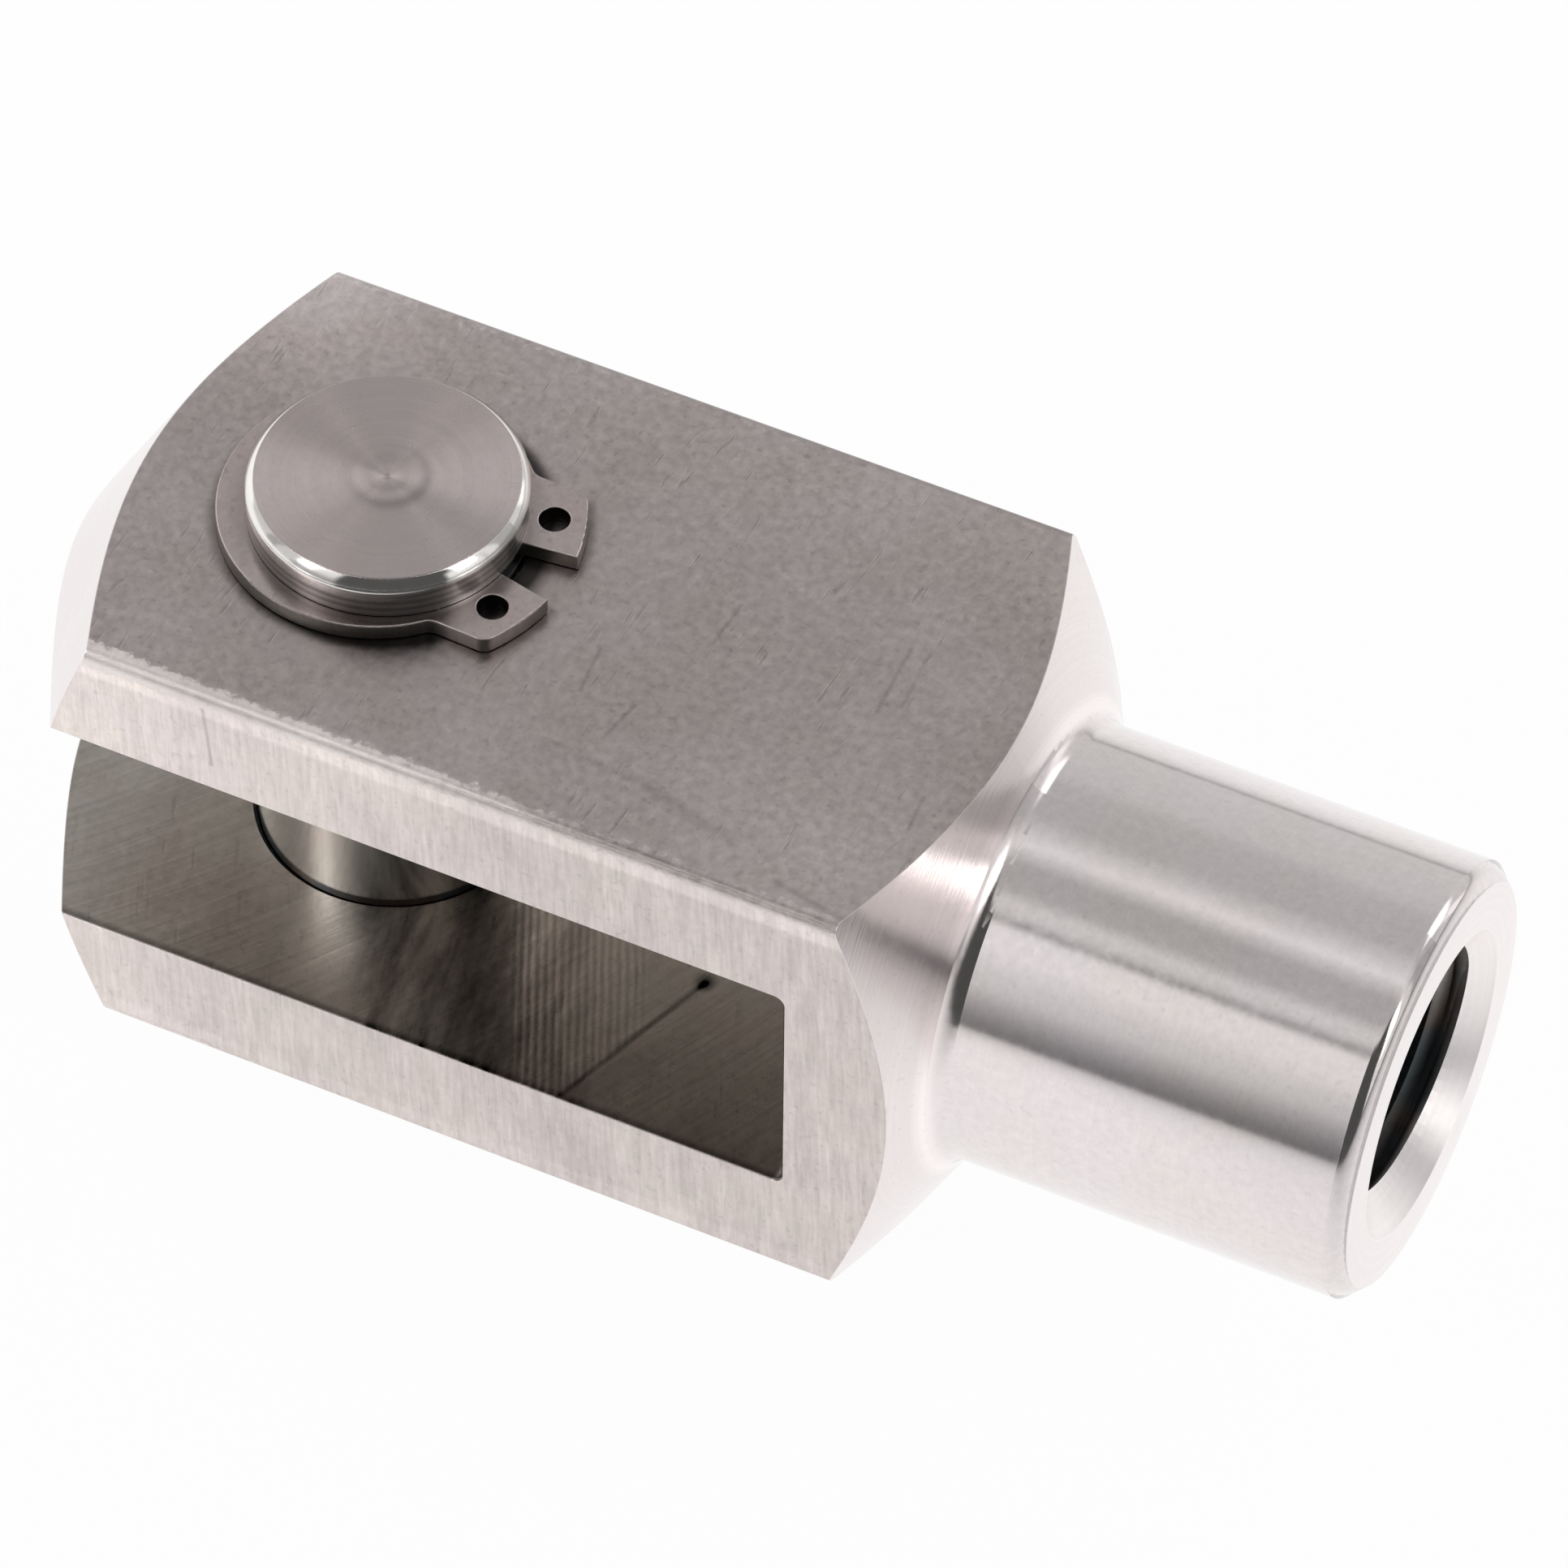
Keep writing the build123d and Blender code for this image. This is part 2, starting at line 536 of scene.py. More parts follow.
@dataclass(frozen=True)
class ForkFinish:
    """The finishes on the fork, from the drawn bar's skin to the turned neck."""

    drawn_skin: Finish = Finish(
        colour=(0.474, 0.417, 0.403), patches=(0.458, 0.411, 0.404),
        roughness=0.34, cloud=0.38, mottle=0.48, grain=0.26, scratch=0.18, speck=0.12, spread=0.25,
        mottle_depth=0.012, grain_depth=0.006, scratch_depth=0.012,
    )
    milled_side: Finish = Finish(
        colour=(0.63, 0.565, 0.552), patches=(0.628, 0.566, 0.536),
        roughness=0.34, cloud=0.24, mottle=0.26, grain=0.46, scratch=0.10, speck=0.10, spread=0.20,
        mottle_depth=0.010, grain_depth=0.014, scratch_depth=0.010,
    )
    slot_wall: Finish = Finish(
        colour=(0.42, 0.376, 0.343), patches=(0.41, 0.379, 0.343),
        roughness=0.29, cloud=0.40, mottle=0.36, grain=0.46, scratch=0.14, speck=0.05, spread=0.12,
        mottle_depth=0.004, grain_depth=0.007, scratch_depth=0.003,
    )
    worn_edge: Finish = Finish(
        colour=(0.81, 0.745, 0.728), patches=(0.80, 0.748, 0.728),
        roughness=0.50, cloud=0.25, mottle=0.30, grain=0.20, spread=0.20,
        mottle_depth=0.010, grain_depth=0.006,
    )
    turned_cone: Finish = Finish(
        colour=(0.84, 0.775, 0.765), patches=(0.84, 0.77, 0.77),
        roughness=0.16, cloud=0.08, mottle=0.06, speck=0.06, spread=0.06,
        mottle_depth=0.0006, grain_depth=0.003,
    )
    smooth_neck: Finish = Finish(
        colour=(0.805, 0.75, 0.735), patches=(0.795, 0.737, 0.747),
        roughness=0.11, cloud=0.12, mottle=0.24, grain=0.08, speck=0.05, spread=0.07,
        mottle_depth=0.0009, grain_depth=0.0006,
    )
    # The faced end's colour is lighter than the steel elsewhere: a painted highlight.
    faced_end_painted_light: Finish = Finish(
        colour=(0.94, 0.895, 0.885), patches=(0.93, 0.88, 0.87),
        roughness=0.32, mottle=0.08, grain=0.12, spread=0.08, grain_depth=0.003,
    )
    # The bores' near-black colour is painted shade inside the holes.
    bore_painted_shade: Finish = Finish(
        colour=(0.13, 0.10, 0.082), patches=(0.07, 0.082, 0.088),
        roughness=0.32, cloud=0.2, mottle=0.4, grain=0.3, spread=0.1,
        mottle_depth=0.002, grain_depth=0.003,
    )


@dataclass
class Fork:
    """The fork: ears, slot, cones and neck, and the thread cut inside the neck."""

    # The cut bar.
    half_bar: float = 16.0
    slot_half_width: float = 8.2
    slot_end: float = 32.0
    open_face: float = -19.0
    open_face_radius: float = 8.1
    open_cone_slope: float = math.tan(math.radians(29.3))
    neck_root: float = 40.0
    neck_radius: float = 13.0
    shoulder_slope: float = math.tan(math.radians(27.9))
    neck_end: float = 64.5
    end_chamfer: float = 1.0
    end_chamfer_turn: float = 0.8
    # The thread.
    thread_radius: float = 8.0
    core_radius: float = 6.9175
    thread_pitch: float = 2.0
    thread_first: float = 40.0
    thread_last: float = 65.0
    mouth_start: float = 63.3
    mouth_radius: float = 9.2
    hole_rim_radius: float = 8.27
    crest_width: float = 0.5
    root_width: float = 1.75
    steps_a_turn: int = 72
    ridge_sink: float = 0.03
    run_out: float = 0.5
    run_out_taper: float = 0.6
    ridge_limit: float = 0.6
    ridge_gap: float = 0.4
    # The marks of the tools, and scratches.
    skin_border: float = 0.12
    # A painted highlight on the shoulder cone by the neck root.
    root_painted_highlight: float = 0.16
    smear_run: float = 0.20
    smear_contrast: float = 0.42
    cutter_centre: tuple[float, float] = (-62.0, 32.0)
    rib_spacing: float = 0.47
    rib_slant: float = math.radians(24.6)
    line_x: float = 20.15
    line_slant: float = 0.363
    rib_contrast: float = 0.22
    rib_depth: float = 0.004
    stroke_depth: float = 0.02
    side_stroke_depth: float = 0.03
    # The worn long edges.
    wear_raggedness: float = 1.6
    wear_front: float = 0.35
    wear_low: float = 0.3
    wear_narrow: float = 0.8
    # The rings, and the painted shade and grime round them.
    ring_radius: float = 9.1
    ring_offset: float = 0.725
    lug_tip_radius: float = 11.2
    half_lug_span: float = 6.1
    upper_gap: float = math.radians(-2.5)
    lower_gap: float = math.radians(150.0)
    shade_print_width: float = 0.75
    shade_print_shift: float = 0.4
    shade_print_darkness: float = 0.42
    under_ring_painted_shade: float = 0.46
    skin_strokes: tuple[Stroke, ...] = (
        Stroke((15.5, -10.6), (21.6, -11.3), 0.42, 0.11),
        Stroke((21.6, -11.3), (27.4, -12.7), 0.70, 0.17),
        # This long stroke is painted shade along the front edge's round, not a tool mark.
        Stroke((16.0, -15.6), (36.0, -15.7), 0.50, 0.32),
        Stroke((30.7, -14.3), (34.9, -15.1), 0.35, 0.22),
        Stroke((21.0, 6.2), (24.9, 4.8), 0.32, -0.12),
        Stroke((20.3, -0.3), (20.5, 2.9), 0.24, 0.20),
        Stroke((30.6, -0.9), (30.4, 4.0), 0.24, 0.20),
        Stroke((31.7, 0.1), (31.5, 4.0), 0.22, 0.14),
        Stroke((35.7, -7.8), (35.5, -5.4), 0.24, 0.22),
        Stroke((15.1, -6.5), (14.8, -3.4), 0.24, 0.22),
        Stroke((17.7, -9.1), (18.3, -6.3), 0.24, 0.20),
    )
    side_strokes: tuple[Stroke, ...] = (
        Stroke((-3.65, 14.9), (-3.2, 10.3), 0.20, 0.36),
        Stroke((34.8, -3.0), (35.0, -9.2), 0.16, -0.10),
        Stroke((35.9, -2.4), (35.9, -8.7), 0.16, -0.10),
    )
    slot_strokes: tuple[Stroke, ...] = (
        Stroke((22.0, -4.9), (18.15, -15.6), 0.34, 0.55),
        Stroke((22.0, -4.9), (22.02, -4.8), 0.95, 0.92),
    )
    finish: ForkFinish = ForkFinish()

    def __post_init__(self) -> None:
        """Starts the fork's one material."""
        self.shader = MetalShader("fork_steel")

    def build_thread(self) -> bpy.types.Object:
        """Winds the thread's ridges inside the neck.

        Returns:
            The ridges as one closed piece.
        """
        work = bmesh.new()
        root = self.thread_radius + self.ridge_sink
        corners = (
            (-self.root_width / 2, root),
            (-self.crest_width / 2, self.core_radius),
            (self.crest_width / 2, self.core_radius),
            (self.root_width / 2, root),
        )
        profile = work.faces.new(
            [work.verts.new((self.thread_first + along, 0.0, out)) for along, out in corners]
        )
        turns = (self.thread_last - self.thread_first) / self.thread_pitch
        steps = round(turns * self.steps_a_turn)
        bmesh.ops.spin(
            work,
            geom=[profile, *profile.edges, *profile.verts],
            cent=(0.0, 0.0, 0.0),
            axis=(1.0, 0.0, 0.0),
            dvec=((self.thread_last - self.thread_first) / steps, 0.0, 0.0),
            angle=turns * math.tau,
            steps=steps,
            use_merge=False,
            use_duplicate=False,
        )
        for corner in work.verts:
            self._trim_to_hole(corner)
        bmesh.ops.recalc_face_normals(work, faces=work.faces)
        bmesh.ops.scale(work, vec=(MM, MM, MM), verts=work.verts)
        mesh = bpy.data.meshes.new("neck_thread_ridges")
        work.to_mesh(mesh)
        work.free()
        piece = bpy.data.objects.new("neck_thread_ridges", mesh)
        bpy.context.scene.collection.objects.link(piece)
        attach(piece, "fork")
        return piece

    def _trim_to_hole(self, corner: bmesh.types.BMVert) -> None:
        """Keeps a corner of the ridge behind the mouth's chamfer and the run-out's taper.

        Args:
            corner: The corner, moved in place.
        """
        x = corner.co.x
        radius = math.hypot(corner.co.y, corner.co.z)
        mouth = self.thread_radius + (x - self.mouth_start)
        tapered = (x - self.thread_first - self.run_out) * self.run_out_taper
        run_out = self.thread_radius + self.ridge_sink - tapered
        limit = self.thread_radius + self.ridge_limit + max(0.0, x - self.mouth_start)
        wanted = min(max(radius, mouth, run_out), limit)
        corner.co.x = min(x, self.neck_end - self.ridge_gap)
        corner.co.y *= wanted / radius
        corner.co.z *= wanted / radius

    def make_material(self) -> bpy.types.Material:
        """Writes the fork's one material.

        Returns:
            The material for the whole fork.
        """
        shader = self.shader
        radius = shader.graph.length(shader.y, shader.z)
        whole = self._bar()
        for layer, share in self._turned_parts(radius):
            whole = whole.under(layer, share)
        slope = shader.x - self.neck_end - radius + self.neck_radius
        rounded = shader.rounded(slope, self.end_chamfer, self.end_chamfer_turn)
        return shader.finish(replace(whole, relief=whole.relief + rounded))

    def _bar(self) -> Surface:
        """The square bar, drawn and milled, with its slot and its worn long edges.

        Returns:
            The bar's surface.
        """
        shader = self.shader
        x, y, z = shader.x, shader.y, shader.z
        across_ribs = x * math.cos(self.rib_slant) + y * math.sin(self.rib_slant)
        along_ribs = y * math.cos(self.rib_slant) - x * math.sin(self.rib_slant)
        lean = across_ribs * 0.85 - along_ribs * self.smear_run
        smears_at = shader.graph.vector(lean, along_ribs * self.smear_run, z * 0.17)
        smears = shader.graph.noise(smears_at, 1.0, 4.0, 0.62) - 0.5
        on_flat = (abs(z) - abs(y)).rise(-self.skin_border, self.skin_border)
        in_slot = (
            abs(z).up_to(self.slot_half_width)
            * abs(y).rise(self.half_bar - 0.01, self.half_bar - 0.03)
            * x.rise(self.slot_end + 0.2, self.slot_end + 0.1)
        )
        bare = shader.surface(self.finish.worn_edge, shader.graph.vector(x * 1.2, y * 3.0, z * 3.0))
        bar = self._milled_side(smears).under(self._drawn_skin(), on_flat)
        bar = bar.under(self._slot_wall(smears, across_ribs, along_ribs), in_slot)
        return bar.under(bare, self._wear())

    def _turned_parts(self, radius: Wire) -> tuple[tuple[Surface, Wire], ...]:
        """What was bored into the bar and turned on its ends.

        Args:
            radius: The distance from the rod's axis.

        Returns:
            Each surface with its share, the later ones over the earlier.
        """
        shader = self.shader
        x, y, z = shader.x, shader.y, shader.z
        in_hole = shader.graph.length(x, y).rise(self.hole_rim_radius + 0.05, self.hole_rim_radius)
        in_ear = abs(z).between(self.slot_half_width + ON_FACE, self.half_bar + 0.1, ON_FACE)
        open_cone = x - self.open_face - (radius - self.open_face_radius) * self.open_cone_slope
        shoulder = self.neck_root - (radius - self.neck_radius) * self.shoulder_slope - x
        on_cone = abs(open_cone).up_to(0.0).most(shoulder.up_to(0.0))
        # Painted highlight: the cone is lighter next to the neck-root fillet.
        root = radius.band(self.neck_radius + 0.8, 0.9) * x.rise(20.0, 30.0) * self.root_painted_highlight
        past_root = x.rise(self.neck_root - 0.3, self.neck_root + 0.6)
        outside = radius.rise(self.neck_radius - 1.1, self.neck_radius - 1.0)
        inside = radius.rise(self.mouth_radius + 0.03, self.mouth_radius + 0.01)
        past_slot = x.rise(self.slot_end + 0.1, self.slot_end + 0.4)
        in_mouth = (
            (radius - x - (self.thread_radius - self.mouth_start)).rise(0.9, 0.1)
            * radius.rise(self.mouth_radius + 0.05, self.mouth_radius + 0.02)
            * x.rise(self.mouth_start - 1.7, self.mouth_start - 1.1)
        )
        # The bores are painted dark: painted shade inside the holes.
        bored = self._turned(self.finish.bore_painted_shade, x * 3.0, 0.2)
        cone = self._turned(self.finish.turned_cone, radius * 7.0, tint=1.0 + root)
        neck = self._turned(self.finish.smooth_neck, x * 8.0)
        # The faced end and the mouth's chamfer carry a painted highlight in their colour.
        faced_painted_light = self._turned(self.finish.faced_end_painted_light, radius * 6.0)
        return (
            (bored, in_hole * in_ear),
            (cone, on_cone),
            (neck, past_root * outside),
            (bored, inside * past_slot),
            (faced_painted_light, x.from_face(self.neck_end).most(in_mouth)),
        )

    def _wear(self) -> Wire:
        """How far the bar's long rounded edges are worn, most by the open end.

        Returns:
            1 where bare steel shows, and 0 where the skin is whole.
        """
        shader = self.shader
        near = shader.y.rise(1.0, -1.0)
        reach = near * shader.x.rise(4.0, -14.0) * self.wear_front
        reach = reach - shader.z.rise(1.0, -1.0) * self.wear_low
        uneven = shader.mottle - 0.5
        from_middle = abs(shader.y).least(abs(shader.z)) + reach + uneven * self.wear_raggedness
        on_round = from_middle.rise(self.half_bar - self.wear_narrow, self.half_bar - 0.5)
        along = 0.05 + shader.x.rise(26.0, 0.0) * 0.70
        share = (along + uneven * 0.8).clamped()
        return on_round * share * (0.25 + near * 0.75)

    def _painted_ring_shade(self) -> Wire:
        """Painted shade under a retaining ring and close round its outline, partly grime.

        Returns:
            The light that the painted shade and grime take away.
        """
        shader = self.shader
        graph, x, y = shader.graph, shader.x, shader.y
        upper = shader.z.rise(-1.0, 1.0)
        cosine = graph.mix(upper, math.cos(self.lower_gap), math.cos(self.upper_gap))
        sine = graph.mix(upper, math.sin(self.lower_gap), math.sin(self.upper_gap))
        along = x * cosine + y * sine
        across = abs(y * cosine - x * sine)
        from_ring = graph.length(along + self.ring_offset, across) - self.ring_radius
        from_tips = graph.length(along, across) - self.lug_tip_radius
        from_lugs = from_tips.most(across - self.half_lug_span).most(along * 0.16 - across)
        from_disc = graph.length(along - self.shade_print_shift, across) - self.ring_radius
        away = from_ring.least(from_disc).least(from_lugs.most(1.0 - along))
        below_ring = graph.length(x, y).rise(self.ring_radius + 0.6, self.ring_radius)
        # Painted shade: a soft contact shadow round the ring and its lugs that also stands as a
        # grime print, and a dark disc under the ring, seen through the lug holes and the gap.
        dirt_and_shade = away.rise(self.shade_print_width, 0.05) * self.shade_print_darkness
        shade = dirt_and_shade + below_ring * self.under_ring_painted_shade
        return shade * abs(shader.z).rise(self.half_bar - 0.8, self.half_bar - 0.4)

    def _drawn_skin(self) -> Surface:
        """The drawn bar's skin on the top and bottom flats, with painted light by its front edge,
        far side and corners, and painted shade on its far edge.

        Returns:
            The skin's surface.
        """
        shader = self.shader
        graph, x, y, z = shader.graph, shader.x, shader.y, shader.z
        # Painted light: sheen by the front edge, towards the far side and at both corners; painted
        # shade on the far edge's round.
        painted_front_sheen = y.rise(-14.8, -15.5) * (0.06 + x.rise(24.0, -4.0) * 0.30)
        painted_far_edge_light = y.rise(4.0, 15.0) * 0.12 - y.rise(15.2, 15.7) * 0.34
        painted_far_corner_sheen = graph.length(x + 14.0, y - 16.0).rise(14.0, 0.0) * 0.46
        painted_near_corner_sheen = graph.length(x - 32.0, y + 13.0).rise(12.0, 0.0) * 0.14
        taken = shader.marked(x, y, self.skin_strokes) * z.rise(0.0, 1.0)
        # The rings' painted shade darkens the skin round the pin.
        return shader.surface(
            self.finish.drawn_skin,
            graph.vector(x * 2.4, y * 1.5, z),
            graph.vector(x * 2.9 - y * 0.25, y * 0.32 + x * 0.1, z),
            (1.0 + painted_front_sheen + painted_far_edge_light + painted_far_corner_sheen + painted_near_corner_sheen - taken)
            * (1.0 - self._painted_ring_shade()),
            taken * -self.stroke_depth,
        )

    def _milled_side(self, smears: Wire) -> Surface:
        """The milled faces either side of the slot, with streaks across the ears, painted
        highlights along their upper and lower edges, and painted sheen towards the open end and on
        the upper ear.

        Args:
            smears: The uneven streaks on them.

        Returns:
            The faces' surface.
        """
        shader = self.shader
        graph, x, y, z = shader.graph, shader.x, shader.y, shader.z
        # Painted light: a highlight along the faces' upper and lower edges, strongest at the top,
        # and sheen towards the open end and on the upper ear.
        painted_rim_shading = abs(z).between(14.5, 15.2, 0.5) * (0.07 + z.rise(-1.0, 1.0) * 0.13)
        painted_open_end_sheen = x.rise(4.0, -18.0) * 0.22 + x.rise(16.0, 4.0) * z.rise(4.0, 9.0) * 0.12
        taken = shader.marked(x, z, self.side_strokes) * y.rise(0.0, -1.0)
        return shader.surface(
            self.finish.milled_side,
            graph.vector(x * 3.4 + z * 0.12, y, z * 0.30),
            graph.vector(x * 5.0, y, z * 0.4),
            1.0 + painted_rim_shading + painted_open_end_sheen + smears * self.smear_contrast - taken,
            taken * -self.side_stroke_depth,
        )

    def _slot_wall(self, smears: Wire, across_ribs: Wire, along_ribs: Wire) -> Surface:
        """The slot's walls, swept by a large cutter and crossed by a smaller one's ribs, with
        painted shade at the slot's mouths, in a band across the ribs and towards its closed end.

        Args:
            smears: The uneven streaks on them.
            across_ribs: The point's place across the ribs.
            along_ribs: Its place along them.

        Returns:
            The walls' surface.
        """
        shader = self.shader
        graph, x, y, z = shader.graph, shader.x, shader.y, shader.z
        sweep = graph.length(x - self.cutter_centre[0], y - self.cutter_centre[1])
        behind_line = (x - self.line_x - (y + 10.0) * self.line_slant).rise(0.3, -0.3)
        ribbed = across_ribs.between(8.0, 13.6, 1.6) * behind_line
        ribs = (across_ribs * (math.tau / self.rib_spacing) + smears * 4.0).sine() * ribbed
        smeared = smears * (0.30 + across_ribs.between(0.5, 9.0, 4.0) * 2.0) + ribbed * 0.08
        # Painted shade: darker at the slot's mouths, in a band across the ribs and towards the
        # closed end.
        painted_rim_shading = abs(y).rise(15.3, 15.85) * 0.5
        painted_slot_shade = across_ribs.between(0.0, 5.0, 3.0) * 0.24 + x.rise(20.0, 30.0) * 0.09
        taken = shader.marked(x, y, self.slot_strokes) * z.rise(0.0, -1.0)
        return shader.surface(
            self.finish.slot_wall,
            graph.vector(sweep * 4.2, z * 0.2, y * 0.12),
            graph.vector(across_ribs * 2.4, along_ribs * 0.2, z),
            1.0 + ribs * (0.02 + shader.mottle * self.rib_contrast) + smeared - taken - painted_rim_shading - painted_slot_shade,
            ribs * self.rib_depth - taken * self.stroke_depth,
        )

    def _turned(
        self, finish: Finish, across: Wire, along: float = 0.04, tint: Number = 1.0
    ) -> Surface:
        """A face turned or bored about the rod's axis.

        Args:
            finish: The face's finish.
            across: The place across the tool's fine rings, in lumps of grain.
            along: How many lumps there are in a millimetre along the rings.
            tint: A factor on its colour.

        Returns:
            The face's surface.
        """
        shader = self.shader
        grain_at = shader.graph.vector(across, shader.y * along, shader.z * along)
        return shader.surface(finish, grain_at, tint=tint)

    def make(self) -> None:
        """Builds the thread and dresses the fork."""
        material = self.make_material()
        dress("fork", material)
        ridges = self.build_thread()
        ridges.data.materials.append(material)
        log.info("%s: %d faces", ridges.name, len(ridges.data.polygons))


# -------------------- pin


@dataclass(frozen=True)
class PinFinish:
    """The finishes on the pin."""

    turned_face: Finish = Finish(
        colour=(0.55, 0.48, 0.47), patches=(0.54, 0.475, 0.468),
        roughness=0.28, cloud=0.12, grain=0.16, spread=0.08, grain_depth=0.006,
    )
    ground_side: Finish = Finish(
        colour=(0.76, 0.73, 0.71), patches=(0.75, 0.73, 0.71),
        roughness=0.12, cloud=0.05, mottle=0.08, mottle_depth=0.0008, grain_depth=0.001,
    )
    # The lands and grooves are painted dark: painted shade beside and in the grooves.
    land_painted_shade: Finish = Finish(
        colour=(0.285, 0.262, 0.253), patches=(0.267, 0.253, 0.244),
        roughness=0.30, cloud=0.2, mottle=0.3, grain=0.5, spread=0.10, grain_depth=0.004,
    )
    groove_painted_shade: Finish = Finish(
        colour=(0.06, 0.055, 0.05), patches=(0.05, 0.05, 0.05),
        roughness=0.5, mottle=0.3,
    )


@dataclass
class Pin:
    """The pin, its end faces turned, its side ground, with painted shade on its lands and in its
    grooves.
    """

    radius: float = 8.0
    end: float = 19.8
    groove_near: float = 16.05
    groove_far: float = 17.15
    land_near: float = 16.9
    land_far: float = 18.2
    land_edge: float = 0.7
    stripe_rate: float = 12.0
    stripe_contrast: float = 0.25
    lug_shade_reach: float = 0.6
    rim_painted_highlight: float = 0.22
    swirl_rate: float = 4.4
    swirl_radius: float = 2.9
    arc_radius: float = 2.1
    swirl_contrast: float = 0.08
    swirl_depth: float = 0.0012
    arc_width: float = 0.8
    pip_radius: float = 0.35
    pip_darkness: float = 0.12
    pip_depth: float = 0.008
    chamfer: float = 0.5
    chamfer_turn: float = 0.24
    chamfer_tilt: float = 0.10
    roll: float = 0.45
    roll_turn: float = 0.85
    anisotropy: float = 0.95
    finish: PinFinish = PinFinish()

    def __post_init__(self) -> None:
        """Starts the pin's material and measures how far a point is from the axis."""
        self.shader = MetalShader("pin_steel")
        self.away = self.shader.graph.length(self.shader.x, self.shader.y)

    def make(self) -> None:
        """Dresses the pin."""
        on_end = abs(self.shader.z).from_face(self.end)
        whole = self._side().under(self._turned_face(), on_end)
        whole = replace(whole, relief=whole.relief + self._soft_edge())
        dress("pin", self.shader.finish(whole, self.anisotropy))

    def _turned_face(self) -> Surface:
        """The end faces, with the lathe's swirl round the pip in the middle.

        Returns:
            The faces' surface.
        """
        x, y, radius = self.shader.x, self.shader.y, self.away
        swirl = (radius * self.swirl_rate + x * 0.4 - y * 0.9).sine()
        swirl = swirl * radius.rise(self.swirl_radius, 1.6)
        one_side = (x * 0.9 - y * 0.2).rise(-1.5, 2.2)
        arc = radius.band(self.arc_radius, self.arc_width) * (0.08 + one_side * 0.16)
        pip = radius.rise(self.pip_radius, 0.1)
        return self.shader.surface(
            self.finish.turned_face,
            self.shader.graph.vector(radius * 4.5, x * 0.08, y * 0.08),
            tint=1.0 + swirl * self.swirl_contrast - pip * self.pip_darkness - arc,
            relief=swirl * self.swirl_depth - pip * self.pip_depth,
        )

    def _side(self) -> Surface:
        """The ground side, with painted shade on the lands past the grooves, reaching furthest by
        the lugs, and in the grooves.

        Returns:
            The side's surface, grooves and all.
        """
        shader = self.shader
        graph, x, y, z = shader.graph, shader.x, shader.y, shader.z
        along = graph.vector(z * 9.0, x * 0.06, y * 0.06)
        # Painted highlight: the ground side is lighter within a millimetre of each end.
        bright = abs(z).rise(self.end - 1.0, self.end - 0.6) * self.rim_painted_highlight
        side = shader.surface(self.finish.ground_side, along, tint=1.0 + bright)
        stripes = (z * self.stripe_rate).sine() * self.stripe_contrast
        land = shader.surface(self.finish.land_painted_shade, along, tint=1.0 + stripes)
        # Painted shade on the lands, shifted towards the pin's ends by the lugs, and near-black
        # paint in the grooves.
        shade_shift = x.rise(2.0, 7.0) * self.lug_shade_reach
        on_land = (abs(z) - shade_shift).between(self.land_near, self.land_far, self.land_edge)
        groove = shader.surface(self.finish.groove_painted_shade, shader.place)
        in_groove = abs(z).between(self.groove_near, self.groove_far, ON_FACE)
        deep = self.away.rise(self.radius - 0.05, self.radius - 0.1)
        return side.under(land, on_land).under(groove, in_groove * deep)

    def _soft_edge(self) -> Wire:
        """The height that rounds the chamfers over and rolls them down into the side.

        Returns:
            The height in millimetres.
        """
        past_end = abs(self.shader.z) - self.end
        rounded = self.shader.rounded(
            past_end - self.away + self.radius, self.chamfer, self.chamfer_turn, self.chamfer_tilt
        )
        below = (past_end + self.chamfer + self.roll).least(self.roll).most(0.0)
        return rounded - below * below * (0.5 * self.roll_turn / self.roll)


# -------------------- rings


@dataclass(frozen=True)
class RingFinish:
    """The finishes on the retaining rings."""

    stamped_face: Finish = Finish(
        colour=(0.56, 0.478, 0.462), patches=(0.55, 0.482, 0.468),
        roughness=0.25, cloud=0.15, mottle=0.25, speck=0.12, spread=0.15, mottle_depth=0.006,
    )
    sheared_edge: Finish = Finish(
        colour=(0.27, 0.245, 0.23), patches=(0.25, 0.235, 0.22),
        roughness=0.38, cloud=0.15, mottle=0.30, grain=0.30, spread=0.15,
        mottle_depth=0.008, grain_depth=0.008,
    )


